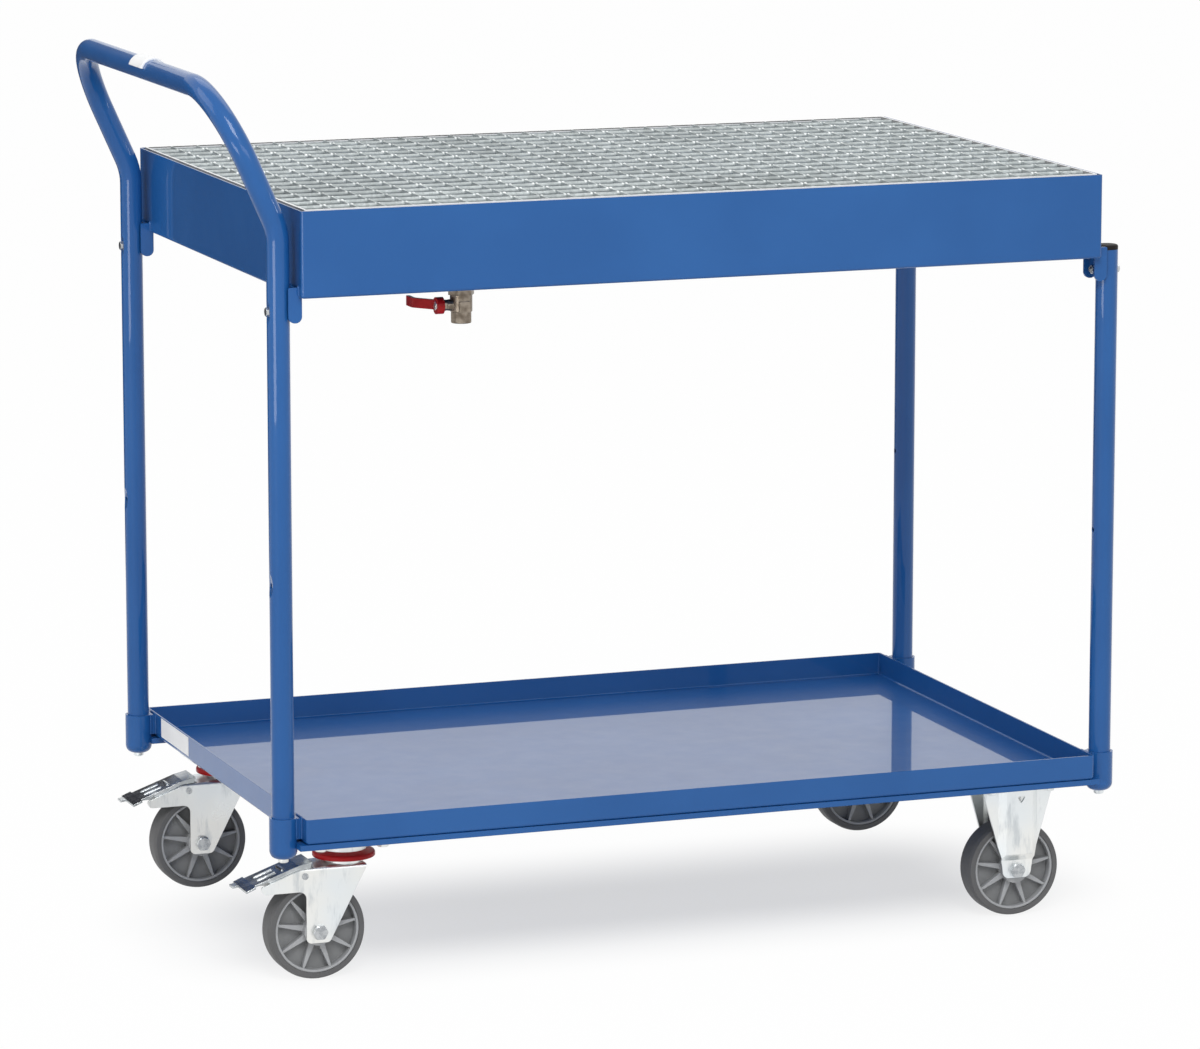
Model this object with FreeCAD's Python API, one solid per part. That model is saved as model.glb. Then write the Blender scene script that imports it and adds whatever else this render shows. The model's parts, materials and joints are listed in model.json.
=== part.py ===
import FreeCAD, Part
import math
import os

V = FreeCAD.Vector

# Shelf trolley: drip tray with grating above, flat tray below, push handle at -X, front side at -Y.
# All sizes in millimetres. Heights are above the floor, X is measured from the middle of the trays.

# Trays
tray_length = 1050.0
tray_width = 700.0
sheet = 2.0
inside_bend = 2.0
upper_tray_depth = 105.5
lower_tray_depth = 31.5
shelf_pitch = 669.0

# Tubes of the handle and posts
tube_d = 28.0
tube_wall = 2.0
post_gap = 6.6
post_inset = 30.0
post_overlap = 7.5
foot_plug = 8.0
crossbar_rise = 142.0
handle_reach = 74.4
handle_tilt = 24.0
handle_bend = 80.0
crossbar_bend = 95.0

# Punched dimples and holes in the tubes
dish_r = 50.0
dish_depth = 2.2
shelf_hole_rise = 318.0

# Post caps
cap_height = 6.0
cap_round = 2.5
cap_plug_gap = 1.0

# Base under the lower tray
channel_height = 16.0
channel_margin = 1.5
channel_wall = 3.0
rail_width = 50.0
rail_thickness = 7.0
rail_cope = 4.6
socket_wall = 3.0
socket_height = 51.0
socket_drop = 20.5
socket_floor = 5.0
socket_round = 10.0
lug_width = 20.0
lug_margin = 1.5

# Brackets between posts and upper tray
bracket_sheet = 3.0
bracket_drop = 30.5
bracket_lap = 12.5
bracket_under = 4.0
bracket_out = 13.0
bracket_round = 8.0
bracket_tip = 2.0
bracket_bolt_drop = 17.5

# Grating and its ledges
grating_gap = 4.0
grating_height = 30.0
grating_stand = 1.0
grating_pitch_x = 35.0
grating_pitch_y = 38.0
grating_bar = 2.0
grating_rod_r = 3.0
grating_edge = 3.0
ledge_width = 18.0
ledge_depth = 20.0
ledge_sheet = 2.0
ledge_end_gap = 6.0

# Blank labels
clip_length = 54.0
clip_wall = 3.0
clip_wrap = 152.0
clip_y = -26.0
sticker_thickness = 0.3
sticker_width = 126.0
sticker_low = 5.5
sticker_high = 1.0
sticker_inset = 130.0

# Drain valve
valve_from_handle = 235.0
valve_from_side = 100.0
valve_ball_drop = 31.0
valve_bore_r = 5.0
ball_r = 9.0
ball_gap = 0.3
seat_height = 4.5
body_r = 13.8
body_skirt = 8.5
body_hex = 29.0
body_hex_height = 10.0
pad_width = 14.0
pad_high = 5.1
pad_out = 0.8
thread_depth = 8.0
collar_hex = 30.0
collar_height = 7.0
end_flats = 24.5
end_height = 14.0
end_floor = 2.0
end_wall = 2.85
nipple_r = 10.4
flange_r = 16.0
flange_height = 3.0
stem_r = 4.0
stem_neck_r = 6.5
stem_neck_root = 9.5
stem_boss_length = 6.0
gland_hex = 12.0
gland_height = 4.0
hub_r = 10.5
hub_length = 9.0
lever_length = 58.0
lever_width = 12.0
lever_thickness = 5.0
lever_crank = 22.0
lever_knee = 6.3
lever_elbow = 34.8
lever_bend = 8.0
lever_offset = 1.0
lever_nut_hex = 10.0
lever_nut_height = 4.0

# Casters
swivel_inset = 78.0
fixed_inset = 73.5
caster_inset = 98.0
plate_length = 105.0
plate_thickness = 3.0
plate_round = 8.0
plate_edge_x = 12.5
plate_edge_y = 8.5
plate_bolt_gap = 1.7
swivel_trail = 40.0
fork_sheet = 3.0
fork_bend = 3.0
foot_drop = 14.0
foot_front = 16.5
foot_back = 13.5
foot_round = 6.5
crown_back = 24.0
crown_slope = (-25.0, 16.5)
crown_round = 30.0
arm_tip = (-76.0, -2.0)
arm_under = (-70.0, -10.5)
arm_round = 3.5
arm_root = 9.0
fixed_foot = 21.5
fixed_neck = 12.0
fixed_toe = 18.5
fixed_foot_drop = 10.5
fixed_foot_round = 9.0
fixed_flare = 60.0
fixed_top_edge = 3.5
panel_raise = 7.0
panel_half = 17.0
panel_ramp = 9.0
panel_foot = 14.0
window_drop = 11.5
window_height = 9.0
window_half = 6.0
window_x = 2.0
window_round = 1.5

# Wheels
wheel_r = 62.5
tyre_thickness = 8.5
tyre_width = 34.0
tyre_round = 6.0
rim_wall = 3.4
rim_width = 32.0
web_thickness = 6.0
hub_outer_r = 18.0
hub_width = 45.0
rib_count = 9
rib_width = 26.0
rib_foot = 10.0
rib_tip = 2.6
sleeve_r = 7.5

# Swivel bearing
crown_over = 20.5
bearing_height = 26.0
race_rise = 12.0
race_margin = 10.0
lower_race_rise = 6.5
lower_race_margin = 7.0
bearing_r = 18.0
bearing_ball_r = 4.0
bearing_count = 12
kingpin_r = 6.0
kingpin_head_r = 11.0
kingpin_head = 6.0
seal_r = 39.0
seal_skirt = 2.5
seal_low = 5.5
seal_high = 15.0

# Brake pedal, points in (x, z) from the top of the swivel wheel, beads as (share of the tread, y, turn)
pivot_dx = -18.0
pivot_over = 9.0
brake_pin_r = 3.0
rivet_head_r = 4.2
rivet_head = 1.2
pedal_sheet = 2.5
pedal_side_gap = 0.7
pedal_tip_half = 29.0
pedal_back = (-8.0, 26.0)
pedal_heel = (-25.0, 22.0)
pedal_toe = (-82.0, 1.6)
pedal_tip = (-94.0, -3.5)
pedal_tail = (-101.0, -4.5)
pedal_notch = 2.0
cheek_back = -9.0
cheek_toe = (-66.0, 5.0)
cheek_chin = (-61.0, 2.5)
cheek_low = (-32.0, 1.0)
cheek_round = 5.0
cheek_lap = 2.0
shoe_front = -34.0
shoe_thickness = 4.0
shoe_low = -4.0
pedal_bead_r = 3.0
pedal_bead_length = 22.0
pedal_beads = ((0.36, -8.0, 0), (0.36, 8.0, 0), (0.7, 0.0, 90))

# Fasteners
axle_r = 5.0
axle_hex = 17.0
axle_head = 6.4
axle_nut = 8.0
m8_r = 4.0
m8_hex = 13.0
m8_head = 5.3
m8_nut = 6.5
m6_r = 3.0
m6_hex = 10.0
m6_head = 4.0
m6_nut = 5.0
thread_out = 1.5
head_bevel = 0.95

# Clearances
slip = 0.2
running = 0.05
play = 0.3
hole_gap = 0.3

# Places worked out from the sizes above
half_l = tray_length / 2
half_w = tray_width / 2
tube_r = tube_d / 2
post_x = half_l + post_gap + tube_r
post_y = half_w - post_inset
wheel_top = 2 * wheel_r
crown_z = wheel_top + crown_over
plate_z = crown_z + bearing_height
caster_height = plate_z + plate_thickness
lower_z = caster_height + channel_height
lower_rim = lower_z + lower_tray_depth
upper_z = lower_z + shelf_pitch
upper_rim = upper_z + upper_tray_depth
socket_r = tube_r + slip + socket_wall
socket_z = lower_z - socket_drop
post_foot = socket_z + socket_floor
post_top = upper_z + post_overlap
crossbar_x = -post_x - handle_reach
crossbar_z = upper_rim + crossbar_rise
bracket_bolt_z = upper_z - bracket_bolt_drop
shelf_hole_z = lower_z + shelf_hole_rise
shelf_hole_r = m6_r + slip
web_outer = post_x - tube_r - slip
web_inner = web_outer - bracket_sheet
caster_y = half_w - caster_inset
fork_gap = hub_width / 2 + play
fork_out = fork_gap + fork_sheet
plate_hole_x = plate_length / 2 - plate_edge_x
plate_hole_y = fork_out + plate_bolt_gap + m8_hex / 2
plate_width = 2 * (plate_hole_y + plate_edge_y)
swivel_x = swivel_inset - half_l
fixed_x = half_l - fixed_inset
race_r = bearing_r + race_margin
race_bottom = crown_z + race_rise
lower_race_r = bearing_r + lower_race_margin
lower_race_top = crown_z + lower_race_rise
pivot_x = pivot_dx - swivel_trail
pivot_z = wheel_top + pivot_over
rim_r = wheel_r - tyre_thickness
valve_x = valve_from_handle - half_l
valve_y = valve_from_side - half_w
valve_z = upper_z - valve_ball_drop
pedal_slope = math.atan2(pedal_heel[1] - pedal_toe[1], pedal_heel[0] - pedal_toe[0])
clip_reach = (tube_r + clip_wall) * math.sin(math.radians(clip_wrap / 2))
origin_shift = (handle_reach + clip_reach - socket_r) / 2

SIDES = {"front": -1, "back": 1}
nodes = {}


# Helpers
def box(x0, x1, y0, y1, z0, z1):
    return Part.makeBox(x1 - x0, y1 - y0, z1 - z0, V(x0, y0, z0))


def rod(radius, start, end):
    along = end - start
    return Part.makeCylinder(radius, along.Length, start, along)


def hexagon(flats, start, end, sides=6):
    """Prism with flat sides, from start to end along its axis."""
    along = end - start
    across = V(1, 0, 0) if abs(along.x) < 0.5 * along.Length else V(0, 0, 1)
    turn = FreeCAD.Rotation(along, 360 / sides)
    spoke = across * (flats / 2 / math.cos(math.pi / sides))
    corners = []
    for _ in range(sides):
        corners.append(start + spoke)
        spoke = turn.multVec(spoke)
    return Part.Face(Part.makePolygon(corners + corners[:1])).extrude(along)


def hex_head(flats, start, end, sides=6):
    """Bolt head or nut, bevelled at its free end."""
    along = end - start
    tip = head_bevel * flats / 2
    bevel = Part.makeCone(tip + along.Length * math.sqrt(3), tip, along.Length, start, along)
    return hexagon(flats, start, end, sides).common(bevel)


def rounded_wire(corners, closed=True):
    """Wire through (point, radius) corners, each rounded by an arc of its radius."""
    edges = []
    last = None
    first = None
    count = len(corners)
    for i, (point, radius) in enumerate(corners):
        enter = leave = point
        arc = None
        if radius > 0:
            back = (corners[i - 1][0] - point).normalize()
            ahead = (corners[(i + 1) % count][0] - point).normalize()
            half = back.getAngle(ahead) / 2
            enter = point + back * (radius / math.tan(half))
            leave = point + ahead * (radius / math.tan(half))
            middle = point + (back + ahead).normalize() * (radius / math.sin(half) - radius)
            arc = Part.Arc(enter, middle, leave).toShape()
        if last is not None:
            edges.append(Part.makeLine(last, enter))
        else:
            first = enter
        if arc is not None:
            edges.append(arc)
        last = leave
    if closed:
        edges.append(Part.makeLine(last, first))
    return Part.Wire(edges)


def side_plate(corners, y0, y1):
    """Plate from an outline of (x, z, corner radius), standing between y0 and y1."""
    wire = rounded_wire([(V(x, y0, z), radius) for x, z, radius in corners])
    return Part.Face(wire).extrude(V(0, y1 - y0, 0))


def flat_plate(corners, z0, z1):
    """Plate from an outline of (x, y, corner radius), lying between z0 and z1."""
    wire = rounded_wire([(V(x, y, z0), radius) for x, y, radius in corners])
    return Part.Face(wire).extrude(V(0, 0, z1 - z0))


def rectangle(half_x, half_y, radius):
    return [(-half_x, -half_y, radius), (half_x, -half_y, radius),
            (half_x, half_y, radius), (-half_x, half_y, radius)]


def turned_z(profile):
    """Body of revolution about Z from (radius, z, corner radius) points."""
    wire = rounded_wire([(V(r, 0, z), c) for r, z, c in profile])
    return Part.Face(wire).revolve(V(0, 0, 0), V(0, 0, 1), 360)


def turned_y(profile, angle=360):
    """Body of revolution about Y from (radius, y, corner radius) points."""
    wire = rounded_wire([(V(r, y, 0), c) for r, y, c in profile])
    return Part.Face(wire).revolve(V(0, 0, 0), V(0, 1, 0), angle)


def mirror_x(shape):
    return shape.mirror(V(0, 0, 0), V(1, 0, 0))


def mirror_y(shape):
    return shape.mirror(V(0, 0, 0), V(0, 1, 0))


def moved(shape, x, y, z):
    copy = shape.copy()
    copy.translate(V(x, y, z))
    return copy


def four_corners(shape):
    """The shape and its mirror images, one for each corner of the trolley."""
    far = [shape, mirror_y(shape)]
    return far + [mirror_x(one) for one in far]


def add(name, *solids):
    nodes[name] = solids[0] if len(solids) == 1 else Part.makeCompound(list(solids))


# Trays
def tray(z, depth):
    top = z + depth
    outer = box(-half_l, half_l, -half_w, half_w, z, top)
    outer = outer.makeFillet(sheet + inside_bend, edges_below(outer, top))
    inner = box(sheet - half_l, half_l - sheet, sheet - half_w, half_w - sheet, z + sheet, top + depth)
    inner = inner.makeFillet(inside_bend, edges_below(inner, top))
    return outer.cut(inner)


def edges_below(shape, top):
    return [edge for edge in shape.Edges if edge.BoundBox.ZMin < top - sheet]


def upper_tray():
    centre = V(valve_x, valve_y, upper_z)
    drain = rod(nipple_r + hole_gap, centre - V(0, 0, sheet), centre + V(0, 0, 2 * sheet))
    return tray(upper_z, upper_tray_depth).cut(drain)


def ledge():
    wall = half_w - sheet
    top = grating_bottom()
    end = half_l - sheet - ledge_end_gap
    shelf = box(-end, end, wall - ledge_width, wall, top - ledge_sheet, top)
    return shelf.fuse(box(-end, end, wall - ledge_sheet, wall, top - ledge_depth, top)).removeSplitter()


# Grating
def grating_half():
    gap = sheet + grating_gap
    return half_l - gap, half_w - gap


def grating_top():
    return upper_rim + grating_stand


def grating_bottom():
    return grating_top() - grating_height


def spread(half, pitch):
    """Places of the bars between two edges, at the whole spacing nearest to the pitch."""
    count = round(2 * half / pitch)
    return [2 * half * i / count - half for i in range(1, count)]


def grating_frame():
    gx, gy = grating_half()
    outer = box(-gx, gx, -gy, gy, grating_bottom(), grating_top())
    ix, iy = gx - grating_edge, gy - grating_edge
    return outer.cut(box(-ix, ix, -iy, iy, grating_bottom() - 1, grating_top() + 1))


def bearing_bar(x):
    """Bar across the tray, slotted from above where the cross rods are pressed in."""
    gx, gy = grating_half()
    end = gy - grating_edge
    low, high = grating_bottom(), grating_top()
    slot = high - 2 * grating_rod_r
    points = [V(x, end, high), V(x, end, low), V(x, -end, low), V(x, -end, high)]
    for y in spread(gy, grating_pitch_y):
        y0, y1 = y - grating_rod_r, y + grating_rod_r
        points += [V(x, y0, high), V(x, y0, slot), V(x, y1, slot), V(x, y1, high)]
    face = Part.Face(Part.makePolygon(points + points[:1]))
    return moved(face.extrude(V(grating_bar, 0, 0)), -grating_bar / 2, 0, 0)


def cross_rod(y):
    end = grating_half()[0] - grating_edge
    z = grating_top() - grating_rod_r
    return rod(grating_rod_r, V(-end, y, z), V(end, y, z))


# Tubes
def dimpled(outer, inner, spots):
    """Tube wall between two solids, pressed in and drilled at each (point on the axis, outward way)."""
    for point, way in spots:
        centre = point + way * (tube_r + dish_r - dish_depth)
        outer = outer.cut(Part.makeSphere(dish_r, centre))
        inner = inner.cut(Part.makeSphere(dish_r + tube_wall, centre))
    wall = outer.cut(inner)
    for point, way in spots:
        wall = wall.cut(rod(shelf_hole_r, point - way * tube_d, point + way * tube_d))
    return wall


def screw_hole(x, y):
    return rod(m8_r + running, V(x, y, post_foot - 1), V(x, y, post_foot + foot_plug + 1))


def far_post(y):
    outer = rod(tube_r, V(post_x, y, post_foot), V(post_x, y, post_top))
    inner = rod(tube_r - tube_wall, V(post_x, y, post_foot + foot_plug), V(post_x, y, post_top + 1))
    spots = [(V(post_x, y, z), V(1, 0, 0)) for z in (bracket_bolt_z, shelf_hole_z)]
    return dimpled(outer, inner, spots).cut(screw_hole(post_x, y))


def handle_sweep(radius, foot):
    """Solid of one radius along the bent handle, both legs starting at the height foot."""
    bend_z = crossbar_z - handle_reach / math.tan(math.radians(handle_tilt))
    corners = []
    for y in (-post_y, post_y):
        leg = [(V(-post_x, y, foot), 0), (V(-post_x, y, bend_z), handle_bend),
               (V(crossbar_x, y, crossbar_z), crossbar_bend)]
        corners += leg if y < 0 else leg[::-1]
    ring = Part.Wire(Part.makeCircle(radius, V(-post_x, -post_y, foot), V(0, 0, 1)))
    return rounded_wire(corners, closed=False).makePipeShell([ring], True, False)


def push_handle():
    outer = handle_sweep(tube_r, post_foot)
    inner = handle_sweep(tube_r - tube_wall, post_foot + foot_plug)
    spots = []
    for y in (-post_y, post_y):
        spots += [(V(-post_x, y, z), V(-1, 0, 0)) for z in (bracket_bolt_z, shelf_hole_z)]
    handle = dimpled(outer, inner, spots)
    return handle.cut(screw_hole(-post_x, -post_y)).cut(screw_hole(-post_x, post_y))


def dish_half(radius, depth):
    """Half the width of a round hollow at its mouth."""
    return math.sqrt(2 * radius * depth - depth * depth)


def post_cap():
    plug_z = bracket_bolt_z + dish_half(dish_r + tube_wall, dish_depth) + cap_plug_gap
    head = turned_z([(0, post_top, 0), (tube_r, post_top, 0),
                     (tube_r, post_top + cap_height, cap_round), (0, post_top + cap_height, 0)])
    plug = rod(tube_r - tube_wall - slip / 2, V(0, 0, plug_z), V(0, 0, post_top))
    return moved(head.fuse(plug), post_x, post_y, 0)


# Base under the lower tray
def socket():
    top = socket_z + socket_height
    outer = turned_z([(0, socket_z, 0), (socket_r, socket_z, socket_round), (socket_r, top, 0), (0, top, 0)])
    outer = moved(outer, post_x, post_y, 0)
    lug_z = lower_z + sheet + inside_bend
    half = lug_width / 2
    lug = box(half_l, post_x, post_y - half, post_y + half, lug_z, lower_rim - lug_margin)
    bore = rod(tube_r + slip, V(post_x, post_y, post_foot), V(post_x, post_y, top + 1))
    hole = rod(m8_r + hole_gap, V(post_x, post_y, socket_z - 1), V(post_x, post_y, post_foot + 1))
    return outer.fuse(lug).cut(bore).cut(hole)


def socket_screw():
    """Screw from below through the socket floor into the plug in the tube's foot."""
    head = turned_z([(0, socket_z - m8_head, 0), (m8_hex / 2, socket_z - m8_head, 2.5),
                     (m8_hex / 2, socket_z, 0), (0, socket_z, 0)])
    shank = rod(m8_r, V(0, 0, socket_z), V(0, 0, post_foot + foot_plug))
    return moved(head.fuse(shank), post_x, post_y, 0)


def rail():
    end = post_x - socket_r + rail_cope
    bar = box(-end, end, half_w - rail_width, half_w, lower_z - rail_thickness, lower_z)
    for x in (-post_x, post_x):
        bar = bar.cut(rod(socket_r, V(x, post_y, socket_z), V(x, post_y, lower_rim)))
    return bar


def plate_holes(radius, z0, z1):
    return [rod(radius, V(x, y, z0), V(x, y, z1))
            for x in (-plate_hole_x, plate_hole_x) for y in (-plate_hole_y, plate_hole_y)]


def channel(x):
    """Cross channel, open upwards, that the caster plates are bolted to."""
    end = half_w - rail_width
    half = plate_length / 2 + channel_margin
    inner = half - channel_wall
    shape = box(-half, half, -end, end, caster_height, lower_z)
    shape = shape.cut(box(-inner, inner, -end - 1, end + 1, caster_height + channel_wall, lower_z + 1))
    for side in SIDES.values():
        for hole in plate_holes(m8_r + hole_gap, caster_height - 1, caster_height + channel_wall + 1):
            shape = shape.cut(moved(hole, 0, side * caster_y, 0))
    return moved(shape, x, 0, 0)


def plate_bolts():
    """Bolts and nuts of one caster plate, heads below."""
    seat = caster_height + channel_wall
    solids = []
    for x in (-plate_hole_x, plate_hole_x):
        for y in (-plate_hole_y, plate_hole_y):
            head = hex_head(m8_hex, V(x, y, plate_z), V(x, y, plate_z - m8_head))
            solids.append(head.fuse(rod(m8_r, V(x, y, plate_z), V(x, y, seat + m8_nut + thread_out))))
            nut = hex_head(m8_hex, V(x, y, seat), V(x, y, seat + m8_nut))
            solids.append(nut.cut(rod(m8_r, V(x, y, seat - 1), V(x, y, seat + m8_nut + 1))))
    return solids


# Brackets
def bracket():
    x0, x1 = half_l - bracket_under, half_l + bracket_out
    z0, z1 = upper_z - bracket_drop, upper_z + bracket_lap
    near = tube_r + hole_gap
    low = min(bracket_round, 0.48 * (x1 - x0))
    flange = side_plate([(x0, z0, low), (x1, z0, low), (x1, z1, bracket_tip), (x0, z1, 0)],
                        near, near + bracket_sheet)
    web = box(web_inner, web_outer, -near, near, z0 + bracket_sheet, z1)
    shape = flange.fuse(mirror_y(flange)).fuse(web)
    shape = shape.cut(box(x0 - 1, half_l, -post_y, post_y, upper_z, z1 + 1))
    shape = shape.cut(rod(m6_r + hole_gap, V(x0, 0, bracket_bolt_z), V(x1, 0, bracket_bolt_z)))
    return moved(shape, 0, post_y, 0)


def bracket_bolt():
    """Bolt from the dimple in the post, through the bracket's web."""
    corner = m6_hex / math.sqrt(3)
    sag = dish_r - math.sqrt(dish_r ** 2 - corner ** 2)
    seat = V(post_x + tube_r - dish_depth + sag, post_y, bracket_bolt_z)
    end = V(web_inner - m6_nut - thread_out, post_y, bracket_bolt_z)
    return hex_head(m6_hex, seat, seat + V(m6_head, 0, 0)).fuse(rod(m6_r, end, seat))


def bracket_nut():
    seat = V(web_inner, post_y, bracket_bolt_z)
    end = seat - V(m6_nut, 0, 0)
    return hex_head(m6_hex, seat, end).cut(rod(m6_r, end - V(1, 0, 0), seat + V(1, 0, 0)))


# Labels
def handle_clip():
    """Shell over the top of the crossbar."""
    half = clip_length / 2
    shell = turned_y([(tube_r, -half, 0), (tube_r + clip_wall, -half, 1), (tube_r + clip_wall, half, 1),
                      (tube_r, half, 0)], -clip_wrap)
    shell.rotate(V(0, 0, 0), V(0, 1, 0), clip_wrap / 2 - 90)
    return moved(shell, crossbar_x, clip_y, crossbar_z)


def sticker():
    y1 = half_w - sticker_inset + sticker_width / 2
    face = -half_l
    return box(face - sticker_thickness, face, y1 - sticker_width, y1,
               lower_z + sticker_low, lower_rim - sticker_high)


# Drain valve, built about its ball and then moved into place
def valve_at(shape):
    return moved(shape, valve_x, valve_y, valve_z)


def valve_heights():
    """Heights above the ball: body bottom, body top, lock nut's lower face, tray floor inside."""
    collar = valve_ball_drop - collar_height
    return -body_skirt, collar - thread_out, collar, valve_ball_drop + sheet


def valve_nipple():
    top, floor = valve_heights()[1], valve_heights()[3]
    shape = rod(nipple_r, V(0, 0, top - thread_depth), V(0, 0, floor))
    shape = shape.fuse(rod(flange_r, V(0, 0, floor), V(0, 0, floor + flange_height)))
    return shape.cut(rod(valve_bore_r, V(0, 0, 0), V(0, 0, floor + flange_height + 1)))


def valve_locknut():
    collar = valve_heights()[2]
    nut = hexagon(collar_hex, V(0, 0, collar), V(0, 0, valve_ball_drop))
    return nut.cut(rod(nipple_r, V(0, 0, collar - 1), V(0, 0, valve_ball_drop + 1)))


def valve_cavity_r():
    return ball_r + ball_gap


def valve_body():
    bottom, top = valve_heights()[:2]
    shape = turned_z([(0, bottom, 0), (body_r, bottom, 1), (body_r, top - body_hex_height, 0),
                      (0, top - body_hex_height, 0)])
    shape = shape.fuse(hexagon(body_hex, V(0, 0, top - body_hex_height), V(0, 0, top)))
    shape = shape.fuse(box(-pad_width / 2, pad_width / 2, -body_r - pad_out, 0, bottom, pad_high))
    neck_end = -body_r - stem_boss_length
    shape = shape.fuse(Part.makeCone(stem_neck_root, stem_neck_r, -neck_end, V(0, 0, 0), V(-1, 0, 0)))
    shape = shape.cut(rod(valve_cavity_r(), V(0, 0, bottom - 1), V(0, 0, ball_r + play)))
    shape = shape.cut(rod(valve_bore_r, V(0, 0, 0), V(0, 0, top)))
    shape = shape.cut(rod(nipple_r, V(0, 0, top - thread_depth), V(0, 0, top + 1)))
    return shape.cut(rod(stem_r + running, V(neck_end - 1, 0, 0), V(0, 0, 0)))


def valve_end_piece():
    """Outlet screwed under the body, hollowed for the lower seat."""
    bottom = valve_heights()[0]
    seat = -ball_r - play
    shape = hex_head(end_flats, V(0, 0, bottom), V(0, 0, bottom - end_height), 8)
    shape = shape.cut(rod(valve_cavity_r(), V(0, 0, seat), V(0, 0, bottom + 1)))
    shape = shape.cut(rod(valve_bore_r, V(0, 0, bottom - end_height - 1), V(0, 0, bottom)))
    outlet_r = end_flats / 2 - end_wall
    return shape.cut(rod(outlet_r, V(0, 0, bottom - end_height - 1), V(0, 0, seat - end_floor)))


def valve_seat():
    """Upper seat ring, hollowed to the ball with a little play."""
    top = ball_r + play
    ring = rod(valve_cavity_r(), V(0, 0, top - seat_height), V(0, 0, top))
    ring = ring.cut(rod(valve_bore_r, V(0, 0, 0), V(0, 0, top + 1)))
    return ring.cut(Part.makeSphere(ball_r + ball_gap))


def tenon():
    """Flat on the stem's end that turns the ball."""
    return box(-ball_r, -ball_r * 0.7, -stem_r, stem_r, -stem_r / 2, stem_r / 2)


def valve_ball():
    ball = Part.makeSphere(ball_r)
    ball = ball.cut(rod(valve_bore_r, V(0, -2 * ball_r, 0), V(0, 2 * ball_r, 0)))
    return ball.cut(tenon())


def lever_hub_x():
    """Inner and outer end of the lever's hub along the stem."""
    inner = -body_r - stem_boss_length - gland_height - play
    return inner, inner - hub_length


def valve_stem():
    hub_in, hub_out = lever_hub_x()
    shaft = rod(stem_r, V(hub_in, 0, 0), V(-ball_r, 0, 0))
    shaft = shaft.fuse(rod(m6_r, V(hub_out - thread_out, 0, 0), V(hub_in, 0, 0)))
    return shaft.fuse(tenon().common(Part.makeSphere(ball_r)))


def valve_gland_nut():
    boss = -body_r - stem_boss_length
    nut = hex_head(gland_hex, V(boss, 0, 0), V(boss - gland_height, 0, 0))
    return nut.cut(rod(stem_r + running, V(boss + 1, 0, 0), V(boss - gland_height - 1, 0, 0)))


def valve_lever():
    """Hub on the stem and a cranked arm along +Y, level while the valve is shut."""
    hub_in, hub_out = lever_hub_x()
    hub = rod(hub_r, V(hub_in, 0, 0), V(hub_out, 0, 0))
    face = hub_in - lever_offset
    back = face - lever_thickness
    inner = lever_bend
    outer = lever_bend + lever_thickness / 2
    slope = math.atan2(lever_crank, lever_elbow - lever_knee)
    lag = lever_thickness * math.tan(slope / 2)
    tip = lever_thickness / 3
    near, far = face - lever_crank, back - lever_crank
    half = lever_width / 2
    arm = flat_plate([(back, 0, 0), (face, 0, 0), (face, lever_knee + lag, outer),
                      (near, lever_elbow + lag, outer), (near, lever_length, tip), (far, lever_length, tip),
                      (far, lever_elbow, outer), (back, lever_knee, inner)], -half, half)
    hole = rod(m6_r, V(hub_out - 1, 0, 0), V(hub_in + 1, 0, 0))
    seat = hexagon(lever_nut_hex, V(hub_out + lever_nut_height - 1, 0, 0), V(hub_out - 1, 0, 0))
    return hub.fuse(arm).cut(hole).cut(seat)


def valve_lever_nut():
    out = lever_hub_x()[1] + lever_nut_height - 1
    nut = hex_head(lever_nut_hex, V(out, 0, 0), V(out - lever_nut_height, 0, 0))
    return nut.cut(rod(m6_r, V(out + 1, 0, 0), V(out - lever_nut_height - 1, 0, 0)))


# Wheels, built about their own centre with the axle along Y
def wheel_core():
    rim_in = rim_r - rim_wall
    half = rim_width / 2
    rim = turned_y([(rim_in, -half, 1), (rim_r, -half, 1), (rim_r, half, 1), (rim_in, half, 1)])
    web = rod(rim_in + 1, V(0, -web_thickness / 2, 0), V(0, web_thickness / 2, 0))
    hub = rod(hub_outer_r, V(0, -hub_width / 2, 0), V(0, hub_width / 2, 0))
    core = rim.fuse(web).fuse(hub)
    for i in range(rib_count):
        rib = side_plate([(-rib_foot / 2, 0, 0), (rib_foot / 2, 0, 0), (rib_tip / 2, rim_in + 1, 0),
                          (-rib_tip / 2, rim_in + 1, 0)], -rib_width / 2, rib_width / 2)
        rib.rotate(V(0, 0, 0), V(0, 1, 0), 360 * i / rib_count)
        core = core.fuse(rib)
    bore = rod(sleeve_r + running, V(0, -hub_width, 0), V(0, hub_width, 0))
    return core.cut(bore).removeSplitter()


def tyre():
    half = tyre_width / 2
    shoulder = wheel_r - tyre_round / 3
    tread = half - tyre_round
    return turned_y([(rim_r, -half, 0), (shoulder, -half, 1), (wheel_r, -tread, tyre_round),
                     (wheel_r, tread, tyre_round), (shoulder, half, 1), (rim_r, half, 0)])


def axle_sleeve():
    ends = V(0, -fork_gap, 0), V(0, fork_gap, 0)
    return rod(sleeve_r, *ends).cut(rod(axle_r, *ends))


def axle_bolt():
    out = fork_out
    head = hex_head(axle_hex, V(0, -out, 0), V(0, -out - axle_head, 0))
    return head.fuse(rod(axle_r, V(0, -out, 0), V(0, out + axle_nut + thread_out, 0)))


def axle_nut_solid():
    nut = hex_head(axle_hex, V(0, fork_out, 0), V(0, fork_out + axle_nut, 0))
    return nut.cut(rod(axle_r, V(0, fork_out - 1, 0), V(0, fork_out + axle_nut + 1, 0)))


# Casters, built about the middle of their plate
def mounting_plate():
    plate = flat_plate(rectangle(plate_length / 2, plate_width / 2, plate_round), plate_z, caster_height)
    for hole in plate_holes(m8_r + hole_gap, plate_z - 1, caster_height + 1):
        plate = plate.cut(hole)
    return plate


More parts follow.
